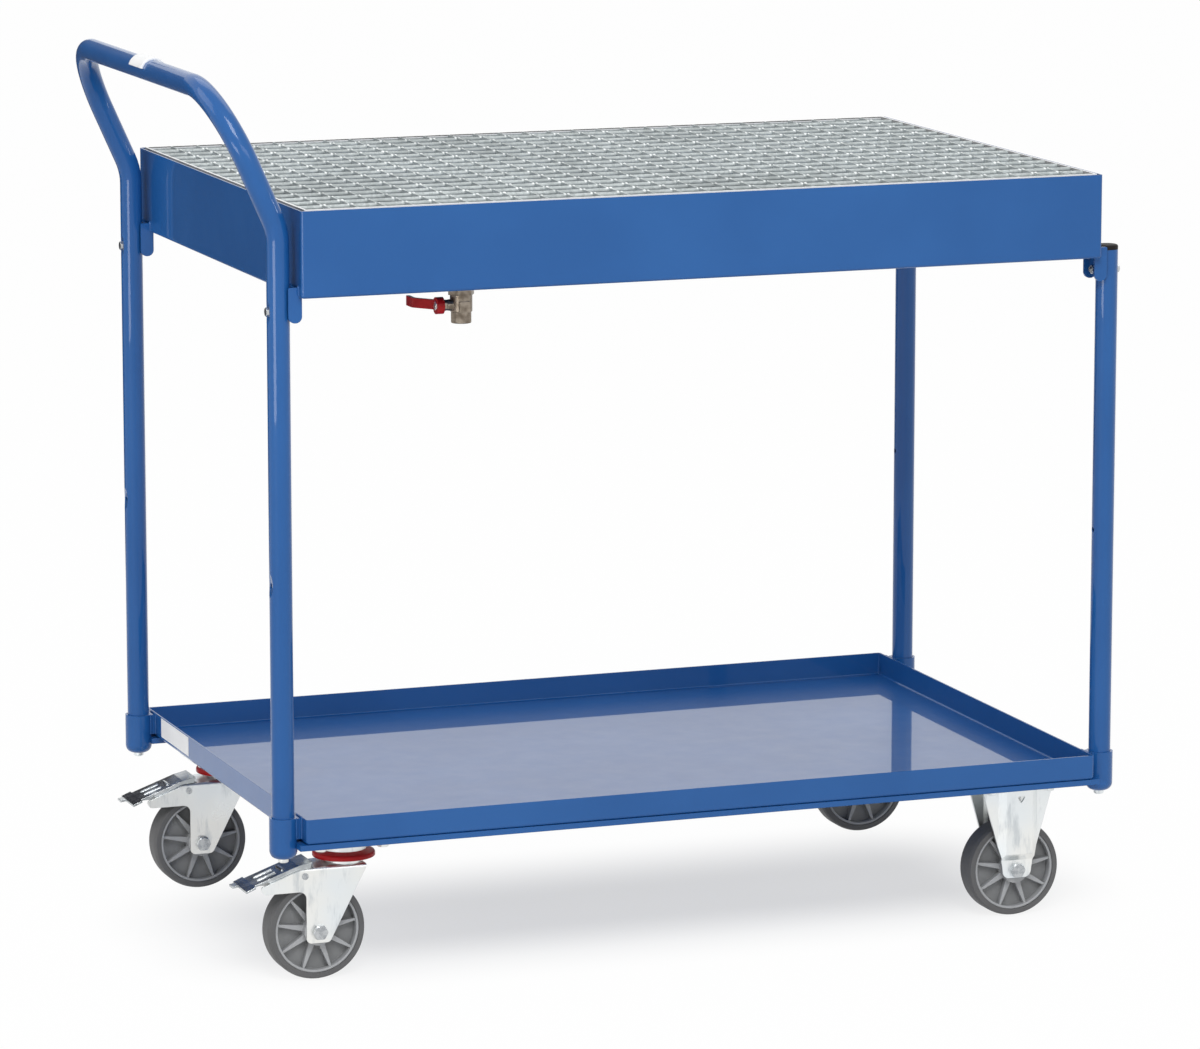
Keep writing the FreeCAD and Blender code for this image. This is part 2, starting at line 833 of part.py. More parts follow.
def bearing_z():
    return (race_bottom + lower_race_top) / 2


def swivel_plate():
    """Plate with the upper race and its ball groove."""
    race = rod(race_r, V(0, 0, race_bottom), V(0, 0, plate_z))
    groove = Part.makeTorus(bearing_r, bearing_ball_r + slip / 2, V(0, 0, bearing_z()))
    hole = rod(kingpin_r, V(0, 0, race_bottom - 1), V(0, 0, caster_height + 1))
    return mounting_plate().fuse(race).cut(groove).cut(hole)


def bearing_balls():
    balls = []
    for i in range(bearing_count):
        angle = 2 * math.pi * i / bearing_count
        place = V(bearing_r * math.cos(angle), bearing_r * math.sin(angle), bearing_z())
        balls.append(Part.makeSphere(bearing_ball_r, place))
    return balls


def kingpin():
    head_top = crown_z - fork_sheet - play
    head = turned_z([(0, head_top - kingpin_head, 0), (kingpin_head_r, head_top - kingpin_head, 3),
                     (kingpin_head_r, head_top, 0), (0, head_top, 0)])
    return head.fuse(rod(kingpin_r, V(0, 0, head_top), V(0, 0, caster_height)))


def seal():
    skirt = seal_r - seal_skirt
    bottom, top = crown_z + seal_low, crown_z + seal_high
    lip = top - seal_skirt
    return turned_z([(race_r, lip, 0), (skirt, lip - 2, 2), (skirt, bottom, 0), (seal_r, bottom, 1),
                     (seal_r, lip - 1, 3), (race_r, top, 0)])


def fork_outline():
    """Side view of the swivel fork: leg, crown and the arm along the pedal."""
    foot = -wheel_r - foot_drop
    back = swivel_trail + crown_back
    front = -foot_front
    outline = [(front, foot, foot_round), (foot_back, foot, foot_round), (back, crown_over, arm_round),
               (back / 3, crown_over, crown_round), (*crown_slope, crown_round), (*arm_tip, arm_round),
               (*arm_under, arm_round), (front, arm_under[1], arm_root)]
    return from_top(outline)


def swivel_fork():
    x0, x1 = -swivel_trail - 2 * wheel_r, 2 * wheel_r
    low = wheel_r / 2
    outer = box(x0, x1, -fork_out, fork_out, low, crown_z)
    outer = outer.makeFillet(fork_bend + fork_sheet, long_top_edges(outer, crown_z))
    inner_top = crown_z - fork_sheet
    inner = box(x0 - 1, x1 + 1, -fork_gap, fork_gap, low - 1, inner_top)
    inner = inner.makeFillet(fork_bend, long_top_edges(inner, inner_top))
    shape = outer.cut(inner).common(side_plate(fork_outline(), -fork_out, fork_out))
    notch_x = pedal_back[0] + pedal_notch - swivel_trail
    shape = shape.cut(box(x0, notch_x, -fork_gap, fork_gap, pivot_z, crown_z + 1))
    race = rod(lower_race_r, V(0, 0, inner_top), V(0, 0, lower_race_top))
    race = race.cut(Part.makeTorus(bearing_r, bearing_ball_r + play, V(0, 0, bearing_z())))
    race = race.cut(box(-wheel_r, wheel_r, -wheel_r, wheel_r, low, crown_z - fork_sheet / 6))
    shape = shape.fuse(race)
    shape = shape.cut(rod(kingpin_r + running, V(0, 0, low), V(0, 0, lower_race_top + 1)))
    shape = shape.cut(cross_hole(axle_r, -swivel_trail, wheel_r))
    return shape.cut(cross_hole(brake_pin_r, pivot_x, pivot_z))


def long_top_edges(shape, top):
    return [e for e in shape.Edges if e.BoundBox.ZMin > top - 0.01 and e.BoundBox.XLength > wheel_r]


def cross_hole(radius, x, z):
    return rod(radius, V(x, -2 * fork_out, z), V(x, 2 * fork_out, z))


def brake_pin():
    place = V(pivot_x, 0, pivot_z)
    out = V(0, fork_out, 0)
    head = V(0, rivet_head, 0)
    pin = rod(brake_pin_r, place - out, place + out)
    for way in (-1, 1):
        pin = pin.fuse(rod(rivet_head_r, place + out * way, place + (out + head) * way))
    return pin


def from_top(corners):
    """Outline points of (x, z, corner radius), moved from the swivel wheel's top to the caster's frame."""
    return [(x - swivel_trail, z + wheel_top, radius) for x, z, radius in corners]


def pedal_strip(points, y0, y1):
    """Bent sheet through (x, z) points on its upper side, from the wheel's top."""
    drop = pedal_sheet / math.cos(pedal_slope)
    upper = [(x, z, 0) for x, z in points]
    lower = [(x, z - drop, 0) for x, z in reversed(points)]
    return side_plate(from_top(upper + lower), y0, y1)


def pedal_bead(share, y, turn):
    """Raised bead pressed into the tread, lying along its slope or turned across it."""
    half = V(pedal_bead_length / 2, 0, 0)
    bead = rod(pedal_bead_r, -half, half)
    for end in (-half, half):
        bead = bead.fuse(Part.makeSphere(pedal_bead_r, end))
    bead.rotate(V(0, 0, 0), V(0, 0, 1), turn)
    bead.rotate(V(0, 0, 0), V(0, 1, 0), -math.degrees(pedal_slope))
    (x0, z0), (x1, z1) = pedal_heel, pedal_toe
    x = x1 + share * (x0 - x1) - swivel_trail
    z = z1 + share * (z0 - z1) + wheel_top
    return moved(bead, x, y, z - pedal_bead_r / 2)


def brake_pedal():
    half = fork_gap - pedal_side_gap
    shape = pedal_strip([pedal_back, pedal_heel, pedal_toe, pedal_tip], -half, half)
    shape = shape.fuse(pedal_strip([pedal_toe, pedal_tip], -pedal_tip_half, pedal_tip_half))
    shape = shape.fuse(pedal_strip([pedal_tip, pedal_tail], half / 3, half))
    heel_x, heel_z = pedal_heel
    cheek = from_top([(cheek_back, pedal_back[1] - cheek_lap, 0), (heel_x, heel_z - cheek_lap, 0),
                      (*cheek_toe, 0), (*cheek_chin, cheek_lap), (*cheek_low, cheek_round),
                      (cheek_back, cheek_low[1], cheek_round)])
    for y0 in (-half, half - pedal_sheet):
        shape = shape.fuse(side_plate(cheek, y0, y0 + pedal_sheet))
    rise = heel_z - cheek_lap + (shoe_front - heel_x) * math.tan(pedal_slope)
    shoe_back = shoe_front + shoe_thickness
    shoe = from_top([(shoe_front, shoe_low, 0), (shoe_back, shoe_low, 0), (shoe_back, rise, 0),
                     (shoe_front, rise, 0)])
    shape = shape.fuse(side_plate(shoe, -half, half))
    for place in pedal_beads:
        shape = shape.fuse(pedal_bead(*place))
    return shape.cut(cross_hole(brake_pin_r + running, pivot_x, pivot_z)).removeSplitter()


def fixed_outline():
    """Side view of the fixed fork's legs, flaring from the axle to the plate."""
    half_top = plate_length / 2 - fixed_top_edge
    foot = wheel_r - fixed_foot_drop
    neck = wheel_r + fixed_neck
    left = [(-half_top, plate_z, 0), (-fixed_foot, neck, fixed_flare), (-fixed_toe, foot, fixed_foot_round)]
    right = [(-x, z, radius) for x, z, radius in reversed(left)]
    return left + right


def pressed_panel(y, grow):
    """Raised middle of the fixed fork's leg: a wide base at y that slopes up to a narrower face."""
    wires = []
    for rise, inset in ((0, 0), (panel_raise, panel_ramp)):
        x = panel_half + panel_ramp - inset + grow
        low = wheel_r + panel_foot + inset - grow
        outline = (-x, low), (x, low), (x, plate_z), (-x, plate_z)
        corners = [V(side, y + rise, height) for side, height in outline]
        wires.append(Part.makePolygon(corners + corners[:1]))
    return Part.makeLoft(wires, True, True)


def fixed_leg():
    """Leg of the fixed fork: flat at the axle and along both edges, pressed outwards between them."""
    far = plate_length
    lag = fork_sheet * math.tan(math.atan2(panel_raise, panel_ramp) / 2)
    leg = box(-far, far, fork_gap, fork_out, 0, plate_z)
    leg = leg.fuse(pressed_panel(fork_out, lag)).cut(pressed_panel(fork_gap, 0))
    leg = leg.common(side_plate(fixed_outline(), 0, plate_width))
    top = plate_z - window_drop
    window = [(window_x - window_half, top, window_round), (window_x + window_half, top, window_round),
              (window_x, top - window_height, window_round)]
    return leg.cut(side_plate(window, 0, plate_width))


def fixed_fork():
    leg = fixed_leg()
    shape = mounting_plate().fuse(leg).fuse(mirror_y(leg))
    return shape.cut(cross_hole(axle_r, 0, wheel_r)).removeSplitter()


# Assembly
def build_frame():
    add("lower_tray", tray(lower_z, lower_tray_depth))
    add("back_rail", rail())
    add("front_rail", mirror_y(rail()))
    add("handle_end_channel", channel(swivel_x))
    add("far_end_channel", channel(fixed_x))
    add("corner_sockets", *four_corners(socket()))
    add("socket_screws", *four_corners(socket_screw()))
    add("push_handle", push_handle())
    for side, sign in SIDES.items():
        add(f"far_{side}_post", far_post(sign * post_y))
    add("post_caps", post_cap(), mirror_y(post_cap()))
    add("handle_label", handle_clip())
    add("tray_label", sticker())


def build_upper_tray():
    add("upper_tray", upper_tray())
    add("tray_brackets", *four_corners(bracket()))
    add("bracket_bolts", *four_corners(bracket_bolt()))
    add("bracket_nuts", *four_corners(bracket_nut()))
    add("grating_ledges", ledge(), mirror_y(ledge()))
    gx, gy = grating_half()
    add("grating_frame", grating_frame())
    add("grating_bearing_bars", *[bearing_bar(x) for x in spread(gx, grating_pitch_x)])
    add("grating_cross_bars", *[cross_rod(y) for y in spread(gy, grating_pitch_y)])


def build_valve():
    seat = valve_seat()
    add("valve_nipple", valve_at(valve_nipple()))
    add("valve_locknut", valve_at(valve_locknut()))
    add("valve_body", valve_at(valve_body()))
    add("valve_end_piece", valve_at(valve_end_piece()))
    add("valve_seats", valve_at(seat), valve_at(seat.mirror(V(0, 0, 0), V(0, 0, 1))))
    add("valve_ball", valve_at(valve_ball()))
    add("valve_stem", valve_at(valve_stem()))
    add("valve_gland_nut", valve_at(valve_gland_nut()))
    add("valve_lever", valve_at(valve_lever()))
    add("valve_lever_nut", valve_at(valve_lever_nut()))


def build_swivel_casters():
    balls = []
    pins = []
    seals = []
    axle = -swivel_trail
    for side, sign in SIDES.items():
        place = (swivel_x, sign * caster_y, 0)
        wheel = (swivel_x + axle, sign * caster_y, wheel_r)
        add(f"{side}_swivel_plate", moved(swivel_plate(), *place))
        add(f"{side}_swivel_fork", moved(swivel_fork(), *place))
        add(f"{side}_brake_pedal", moved(brake_pedal(), *place))
        add(f"{side}_brake_pin", moved(brake_pin(), *place))
        add(f"{side}_swivel_axle", moved(axle_bolt(), *wheel), moved(axle_nut_solid(), *wheel))
        add(f"{side}_swivel_sleeve", moved(axle_sleeve(), *wheel))
        add(f"{side}_swivel_wheel_core", moved(wheel_core(), *wheel))
        add(f"{side}_swivel_tyre", moved(tyre(), *wheel))
        balls += [moved(ball, *place) for ball in bearing_balls()]
        pins.append(moved(kingpin(), *place))
        seals.append(moved(seal(), *place))
    add("swivel_bearing_balls", *balls)
    add("swivel_kingpins", *pins)
    add("swivel_seals", *seals)


def build_fixed_casters():
    bolts = []
    nuts = []
    sleeves = []
    for side, sign in SIDES.items():
        wheel = (fixed_x, sign * caster_y, wheel_r)
        add(f"{side}_fixed_fork", moved(fixed_fork(), fixed_x, sign * caster_y, 0))
        add(f"{side}_fixed_wheel_core", moved(wheel_core(), *wheel))
        add(f"{side}_fixed_tyre", moved(tyre(), *wheel))
        bolts.append(moved(axle_bolt(), *wheel))
        nuts.append(moved(axle_nut_solid(), *wheel))
        sleeves.append(moved(axle_sleeve(), *wheel))
    add("fixed_axle_bolts", *bolts, *nuts)
    add("fixed_axle_sleeves", *sleeves)


def build_plate_fasteners():
    fasteners = []
    for x in (swivel_x, fixed_x):
        for sign in SIDES.values():
            fasteners += [moved(one, x, sign * caster_y, 0) for one in plate_bolts()]
    add("caster_plate_bolts", *fasteners)


build_frame()
build_upper_tray()
build_valve()
build_swivel_casters()
build_fixed_casters()
build_plate_fasteners()

os.makedirs("parts", exist_ok=True)
for name, shape in nodes.items():
    moved(shape, origin_shift, 0, 0).exportStep(f"parts/{name}.step")
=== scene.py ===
"""Looks of the shelf trolley: finishes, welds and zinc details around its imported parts."""

import json
import math

import bpy
from mathutils import Matrix, Vector


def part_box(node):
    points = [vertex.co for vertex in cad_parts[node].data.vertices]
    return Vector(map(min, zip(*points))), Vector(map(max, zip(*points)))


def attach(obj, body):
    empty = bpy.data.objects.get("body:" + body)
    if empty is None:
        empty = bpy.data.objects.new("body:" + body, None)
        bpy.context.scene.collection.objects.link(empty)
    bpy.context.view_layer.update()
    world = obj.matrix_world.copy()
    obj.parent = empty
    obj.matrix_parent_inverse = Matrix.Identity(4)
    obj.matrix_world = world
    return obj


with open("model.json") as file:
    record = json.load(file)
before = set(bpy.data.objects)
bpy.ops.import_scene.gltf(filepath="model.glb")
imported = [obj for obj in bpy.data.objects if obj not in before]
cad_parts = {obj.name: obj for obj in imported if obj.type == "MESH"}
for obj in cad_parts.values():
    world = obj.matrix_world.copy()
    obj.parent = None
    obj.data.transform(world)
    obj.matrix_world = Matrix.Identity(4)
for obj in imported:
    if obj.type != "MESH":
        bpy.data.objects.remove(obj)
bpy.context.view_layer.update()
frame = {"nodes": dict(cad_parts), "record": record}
parts = frame["nodes"]
record = frame["record"]

# The grating: its top edge, the spacing of its bars and rods, and its zinc
GRATING_TOP = 0.966
BAR_PITCH = 0.035
ROD_PITCH = 0.038
DARK_ZINC = (0.41, 0.45, 0.45)
LIGHT_ZINC = (0.59, 0.635, 0.635)

# The camera that took the photo, solved from the tray's corners
PHOTO_WIDTH = 1200  # pixels
FOCAL_LENGTH = 5947  # pixels
SENSOR_WIDTH = 36  # millimetres
CAMERA_TURN = math.radians(-20.28)
CAMERA_TIP = math.radians(10.28)
CAMERA_AIM = Vector((0.0368, 0, 0.5))
CAMERA_AWAY = 7.662
CAMERA_LEFT = 0.0155
CAMERA_DOWN = 0.0058

# Soft lamps: place, aim, width, height and power in watts
LAMPS = {
    "left_lamp": ((-3.2, -2.2, 0.45), (-0.4, -0.3, 0.75), 1.5, 0.55, 16),
    "front_lamp": ((0.6, -4.5, 2.1), (0, 0, 0.5), 3.0, 1.0, 22),
    "right_lamp": ((3.2, -1.9, 1.3), (-0.5, -0.3, 1.0), 0.12, 0.6, 5),
    "key_lamp": ((-1.0, -3.8, 4.2), (0, 0, 0.5), 2.0, 2.2, 138),
    "side_lamp": ((-3.6, 0.6, 3.0), (-0.5, 0, 0.7), 2.5, 2.5, 36),
    "top_lamp": ((0.8, 1.6, 4.0), (0, 0, 0.5), 4.0, 2.0, 30),
}


# Node trees
def maths(tree, operation, *values):
    return tree.add("ShaderNodeMath", {"operation": operation}, dict(enumerate(values)))


class Out:
    """A node's output socket. Arithmetic on it adds Math nodes to its tree."""

    def __init__(self, tree, socket):
        self.tree = tree
        self.socket = socket

    def maths(self, operation, *others):
        return maths(self.tree, operation, self, *others)

    def __add__(self, other):
        return self.maths("ADD", other)

    def __sub__(self, other):
        return self.maths("SUBTRACT", other)

    def __mul__(self, other):
        return self.maths("MULTIPLY", other)

    def __truediv__(self, other):
        return self.maths("DIVIDE", other)

    def __pow__(self, other):
        return self.maths("POWER", other)

    def __rsub__(self, other):
        return maths(self.tree, "SUBTRACT", other, self)

    __radd__ = __add__
    __rmul__ = __mul__

    def clipped(self):
        return self.tree.add("ShaderNodeClamp", {}, {0: self})

    def between(self, low, high):
        """0 below low, 1 above high and a smooth rise between them."""
        values = {0: self, 1: low, 2: high}
        return self.tree.add("ShaderNodeMapRange", {"interpolation_type": "SMOOTHSTEP"}, values)


class Tree:
    """A node tree that grows by one method, add."""

    def __init__(self, tree):
        self.tree = tree

    def add(self, kind, settings=None, inputs=None, out=0):
        """Adds a node, sets or links its inputs and gives back one of its outputs."""
        node = self.tree.nodes.new(kind)
        for name, value in (settings or {}).items():
            setattr(node, name, value)
        for key, value in (inputs or {}).items():
            socket = node.inputs[key]
            if isinstance(value, Out):
                self.tree.links.new(value.socket, socket)
            elif socket.type == "RGBA" and len(value) == 3:
                socket.default_value = (*value, 1)
            else:
                socket.default_value = value
        return Out(self, node.outputs[out]) if len(node.outputs) else node


class Finish(Tree):
    """A procedural material on Object coordinates."""

    def __init__(self, name):
        self.material = bpy.data.materials.new(name)
        self.material.use_nodes = True
        super().__init__(self.material.node_tree)
        self.tree.nodes.clear()
        self.place = self.add("ShaderNodeTexCoord", {}, {}, "Object")

    def stretched(self, x, y, z):
        return self.add("ShaderNodeMapping", {}, {"Vector": self.place, "Scale": (x, y, z)})

    def noise(self, scale, detail=2.0, rough=0.5, at=None):
        values = {"Vector": at or self.place, "Scale": scale, "Detail": detail, "Roughness": rough}
        return self.add("ShaderNodeTexNoise", {}, values)

    def cells(self, scale):
        """Crystal-like cells, each with its own shade from 0 to 1."""
        colour = self.add("ShaderNodeTexVoronoi", {}, {"Vector": self.place, "Scale": scale}, "Color")
        return self.add("ShaderNodeSeparateColor", {}, {0: colour}, 0)

    def along(self, axis, vector=None):
        """One coordinate of the place, or of another vector."""
        return self.add("ShaderNodeSeparateXYZ", {}, {0: vector or self.place}, axis)

    def mix(self, share, first, second):
        values = {0: share, 6: first, 7: second}
        return self.add("ShaderNodeMix", {"data_type": "RGBA"}, values, 2)

    def rounded(self, radius):
        """The surface's normal with its sharp edges softened."""
        return self.add("ShaderNodeBevel", {"samples": 4}, {"Radius": radius})

    def edges(self, normal):
        """1 on sharp edges, 0 on open faces."""
        true = self.add("ShaderNodeNewGeometry", {}, {}, "Normal")
        values = {0: normal, 1: true}
        return 1 - self.add("ShaderNodeVectorMath", {"operation": "DOT_PRODUCT"}, values, "Value")

    def bump(self, height, depth, normal=None):
        values = {"Strength": 1.0, "Distance": depth, "Height": height}
        if normal:
            values["Normal"] = normal
        return self.add("ShaderNodeBump", {}, values)

    def surface(self, **sockets):
        names = {name.replace("_", " "): value for name, value in sockets.items()}
        shader = self.add("ShaderNodeBsdfPrincipled", {}, names)
        self.add("ShaderNodeOutputMaterial", {}, {"Surface": shader})
        return self.material


# Finishes
def blue_paint():
    """Glossy blue enamel: slightly mottled, with a fine orange peel and faint paler edges, partly rubbed
    wear and partly a painted highlight.
    """
    f = Finish("blue_paint")
    mottle = f.noise(5, 3)
    cloud = f.noise(28, 4)
    peel = f.noise(320, 1)
    edge_wear_and_highlight = f.noise(60, 5, 0.7)
    soft = f.rounded(0.0012)
    edge = f.edges(soft).between(0.04, 0.4) * edge_wear_and_highlight.between(0.45, 0.62)
    blue = f.mix(mottle.between(0.3, 0.7), (0.0115, 0.092, 0.302), (0.0155, 0.106, 0.335))
    # Paler blue on the edges: partly wear, partly a painted highlight.
    blue = f.mix(edge * 0.25, blue, (0.05, 0.2, 0.48))
    return f.surface(Base_Color=blue, Roughness=0.3 + 0.12 * cloud, Coat_Weight=0.8 - 0.3 * edge,
                     Coat_Roughness=0.025, Coat_IOR=1.39, Specular_IOR_Level=0.1,
                     Normal=f.bump(peel, 0.00006, soft))


def lip_painted_shade_line(f, lip, patch):
    """Painted shade: a dark line on the upright faces under a top edge, deeper and fainter on the end walls,
    none in front.
    """
    facing = f.add("ShaderNodeNewGeometry", {}, {}, "True Normal")
    upright = 1 - f.along("Z", facing).maths("ABSOLUTE")
    endwise = f.along("X", facing).maths("ABSOLUTE")
    height = f.along("Z") + 0.0006 * patch + 0.0026 * endwise
    front_outside, front_inside = -0.342, -0.34
    behind_front = f.along("Y").between(front_outside, front_inside)
    return behind_front * upright * height.between(lip - 0.0011, lip - 0.0005) * (1 - 0.4 * endwise)


def galvanised_steel(name, dark, light, metallic, lip=None):
    """Hot-dip zinc: pale spangle, dull and bright patches. A lip is the height of a top edge that gets a
    painted highlight band above and a painted shade line below.
    """
    f = Finish(name)
    shade = f.cells(260)
    patch = f.noise(24, 4, 0.6)
    broad = f.noise(3.5, 2)
    grain = f.noise(900, 2)
    soft = f.rounded(0.0009)
    zinc = f.mix(shade, dark, light)
    dull = 0.5 * (patch.between(0.45, 0.7) + broad.between(0.5, 0.75))
    zinc = f.mix(dull, zinc, tuple(0.75 * c for c in dark))
    if lip:
        # A lighter, less metallic band along the frame's top: a painted highlight.
        painted_highlight_band = f.along("Z").between(lip - 0.0035, lip - 0.0015)
        zinc = f.mix(painted_highlight_band, zinc, f.mix(shade, (0.90, 0.91, 0.91), (0.95, 0.95, 0.95)))
        # Dark line of painted shade under the frame's top edge.
        zinc = f.mix(lip_painted_shade_line(f, lip, patch), zinc, (0.035, 0.032, 0.03))
        metallic = metallic - (metallic - 0.05) * painted_highlight_band
    return f.surface(Base_Color=zinc, Metallic=metallic, Roughness=0.42 + 0.2 * patch + 0.1 * shade,
                     Normal=f.bump(grain + 0.6 * f.noise(150, 2), 0.00012, soft))


def zinc_plate():
    """Bright zinc plating on pressings and fasteners: faint bluish and yellowish clouds and press marks."""
    f = Finish("zinc_plate")
    cloud = f.noise(22, 3)
    tint = f.noise(9, 2)
    grain = f.noise(700, 3, 0.6)
    marks = f.noise(55, 4, 0.65, f.stretched(1, 1, 0.25))
    soft = f.rounded(0.0008)
    zinc = f.mix(tint.between(0.35, 0.65), (0.78, 0.82, 0.84), (0.85, 0.85, 0.82))
    zinc = f.mix(marks.between(0.5, 0.72) * 0.7, zinc, (0.48, 0.52, 0.55))
    return f.surface(Base_Color=zinc, Metallic=1.0, Roughness=0.2 + 0.22 * cloud,
                     Normal=f.bump(grain + marks, 0.00008, soft))


def bolt_zinc():
    """Duller, darker zinc on bolts and pins, patchy, and bright on the worn edges. On the brake pins the
    darker zinc is painted shade for the gap round them.
    """
    f = Finish("bolt_zinc")
    cloud = f.noise(160, 3)
    soft = f.rounded(0.0007)
    edge = f.edges(soft).between(0.04, 0.4)
    # Darker zinc overall; on the brake pins it is painted shade standing in for the gap round them.
    zinc = f.mix(cloud.between(0.3, 0.7), (0.36, 0.38, 0.40), (0.56, 0.58, 0.59))
    zinc = f.mix(edge * 0.7, zinc, (0.82, 0.84, 0.85))
    return f.surface(Base_Color=zinc, Metallic=1.0, Roughness=0.18 + 0.2 * cloud,
                     Normal=f.bump(f.noise(900, 2), 0.00005, soft))


def trodden_zinc():
    """Zinc on the brake pedals, polished by shoes, with scratches across the tread. Its dark base is a
    painted reflection of the dark tray underside above it, and its bright edges are a painted highlight.
    """
    f = Finish("trodden_zinc")
    cloud = f.noise(40, 4, 0.6)
    scratch = f.noise(120, 3, 0.6, f.stretched(1, 0.12, 1))
    soft = f.rounded(0.0009)
    edge = f.edges(soft).between(0.04, 0.35)
    # Darker zinc: a painted reflection of the dark underside above the pedal.
    zinc = f.mix(cloud.between(0.3, 0.7), (0.36, 0.385, 0.40), (0.54, 0.565, 0.58))
    # Bright edges: a painted highlight; the bright scratches are real wear.
    zinc = f.mix(edge * 0.8 + 0.3 * scratch.between(0.56, 0.66), zinc, (0.82, 0.84, 0.85))
    return f.surface(Base_Color=zinc, Metallic=1.0, Roughness=0.12 + 0.14 * cloud,
                     Normal=f.bump(scratch, 0.00008, soft))


def bearing_steel():
    """Ground bearing steel with fine lines and a film of grease."""
    f = Finish("bearing_steel")
    lines = f.noise(500, 2, 0.5, f.stretched(1, 1, 6))
    grease = f.noise(120, 3)
    steel = f.mix(grease.between(0.5, 0.7) * 0.5, (0.62, 0.63, 0.64), (0.32, 0.29, 0.22))
    return f.surface(Base_Color=steel, Metallic=1.0, Roughness=0.16 + 0.2 * grease,
                     Normal=f.bump(lines, 0.00003))


def valve_metal():
    """Nickel plated cast brass: warm grey, sandy casting skin, patchy darker and lighter clouds, and paler
    edges that are a painted highlight.
    """
    f = Finish("valve_metal")
    sand = f.noise(900, 3, 0.7)
    cloud = f.noise(110, 4)
    soft = f.rounded(0.0008)
    edge = f.edges(soft).between(0.04, 0.4)
    metal = f.mix(cloud.between(0.3, 0.7), (0.15, 0.12, 0.09), (0.34, 0.29, 0.235))
    # Paler edges: a painted highlight.
    metal = f.mix(edge * 0.5, metal, (0.52, 0.46, 0.39))
    return f.surface(Base_Color=metal, Metallic=0.9, Roughness=0.22 + 0.25 * cloud,
                     Normal=f.bump(sand, 0.0001, soft))


def chromed_ball():
    """Polished chrome with a slight haze."""
    f = Finish("chromed_ball")
    haze = f.noise(200, 3)
    return f.surface(Base_Color=f.mix(haze, (0.7, 0.71, 0.72), (0.8, 0.8, 0.8)), Metallic=1.0,
                     Roughness=0.06 + 0.08 * haze)


def moulded(name, dark, light, rough, grain, shine=0.5):
    """Moulded plastic: a fine grain, faint flow marks and slightly scuffed edges."""
    f = Finish(name)
    flow = f.noise(40, 4, 0.6)
    skin = f.noise(grain, 2)
    soft = f.rounded(0.0007)
    edge = f.edges(soft).between(0.05, 0.4) * f.noise(150, 4).between(0.45, 0.65)
    colour = f.mix(flow.between(0.3, 0.7), dark, light)
    colour = f.mix(edge * 0.4, colour, tuple(min(1, 1.6 * c + 0.02) for c in light))
    return f.surface(Base_Color=colour, Roughness=rough + 0.12 * flow, Specular_IOR_Level=shine,
                     Normal=f.bump(skin, 0.00006, soft))


def wheel_plastic():
    """Moulded wheel core: ribs and rims painted lighter and the hollows between them painted darker, as
    painted light and shade, with paler edges as a painted highlight.
    """
    f = Finish("wheel_plastic")
    low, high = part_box("front_swivel_wheel_core")
    wheel_middle = abs(low.y + high.y) / 2
    depth = (f.along("Y").maths("ABSOLUTE") - wheel_middle).maths("ABSOLUTE")
    raised_painted_lit = depth.between(0.004, 0.013)
    flow = f.noise(40, 4, 0.6)
    soft = f.rounded(0.0007)
    edge = f.edges(soft).between(0.05, 0.4)
    # Painted shade in the hollows, painted light on the ribs and rims.
    grey = f.mix(raised_painted_lit, (0.23, 0.235, 0.24), (0.41, 0.42, 0.43))
    grey = f.mix(0.4 * flow, grey, (0.33, 0.335, 0.34))
    # Paler edges: a painted highlight.
    grey = f.mix(edge * 0.45, grey, (0.66, 0.67, 0.68))
    return f.surface(Base_Color=grey, Roughness=0.4 + 0.15 * flow,
                     Normal=f.bump(f.noise(900, 2), 0.00006, soft))


def grey_rubber():
    """Solid elastic rubber: matt grey, fine moulding grain, a little dust on the tread."""
    f = Finish("grey_rubber")
    dust = f.noise(90, 5, 0.65)
    skin = f.noise(1100, 2)
    lines = f.noise(260, 2)
    soft = f.rounded(0.001)
    rubber = f.mix(f.noise(30, 3), (0.100, 0.100, 0.102), (0.128, 0.128, 0.130))
    rubber = f.mix(dust.between(0.58, 0.8) * 0.3, rubber, (0.16, 0.155, 0.145))
    return f.surface(Base_Color=rubber, Roughness=0.5 + 0.2 * dust, Specular_IOR_Level=0.45,
                     Normal=f.bump(skin + 0.5 * lines, 0.00008, soft))


FINISHES = {
    "blue_paint": blue_paint(),
    "galvanised_steel": galvanised_steel("galvanised_steel", DARK_ZINC, LIGHT_ZINC, 0.25),
    # The knots' zinc is lighter than the bars' own zinc: a painted highlight.
    "bright_zinc": galvanised_steel("bright_zinc", (0.74, 0.77, 0.77), (0.88, 0.90, 0.90), 0.6),
    # The grating frame's zinc, with a painted highlight band and a painted shade line along its top.
    "edge_zinc": galvanised_steel("edge_zinc", DARK_ZINC, LIGHT_ZINC, 0.25, lip=GRATING_TOP),
    "zinc_plate": zinc_plate(),
    "bolt_zinc": bolt_zinc(),
    "trodden_zinc": trodden_zinc(),
    "bearing_steel": bearing_steel(),
    "valve_metal": valve_metal(),
    "chromed_ball": chromed_ball(),
    "seat_plastic": moulded("seat_plastic", (0.78, 0.78, 0.76), (0.86, 0.86, 0.84), 0.4, 800),
    "red_plastic": moulded("red_plastic", (0.36, 0.006, 0.008), (0.46, 0.010, 0.012), 0.3, 700, 0.2),
    "black_plastic": moulded("black_plastic", (0.008, 0.007, 0.007), (0.014, 0.012, 0.011), 0.5, 900, 0.15),
    "white_label": moulded("white_label", (0.90, 0.905, 0.91), (0.94, 0.945, 0.95), 0.4, 600),
    "wheel_plastic": wheel_plastic(),
    "grey_rubber": grey_rubber(),
}

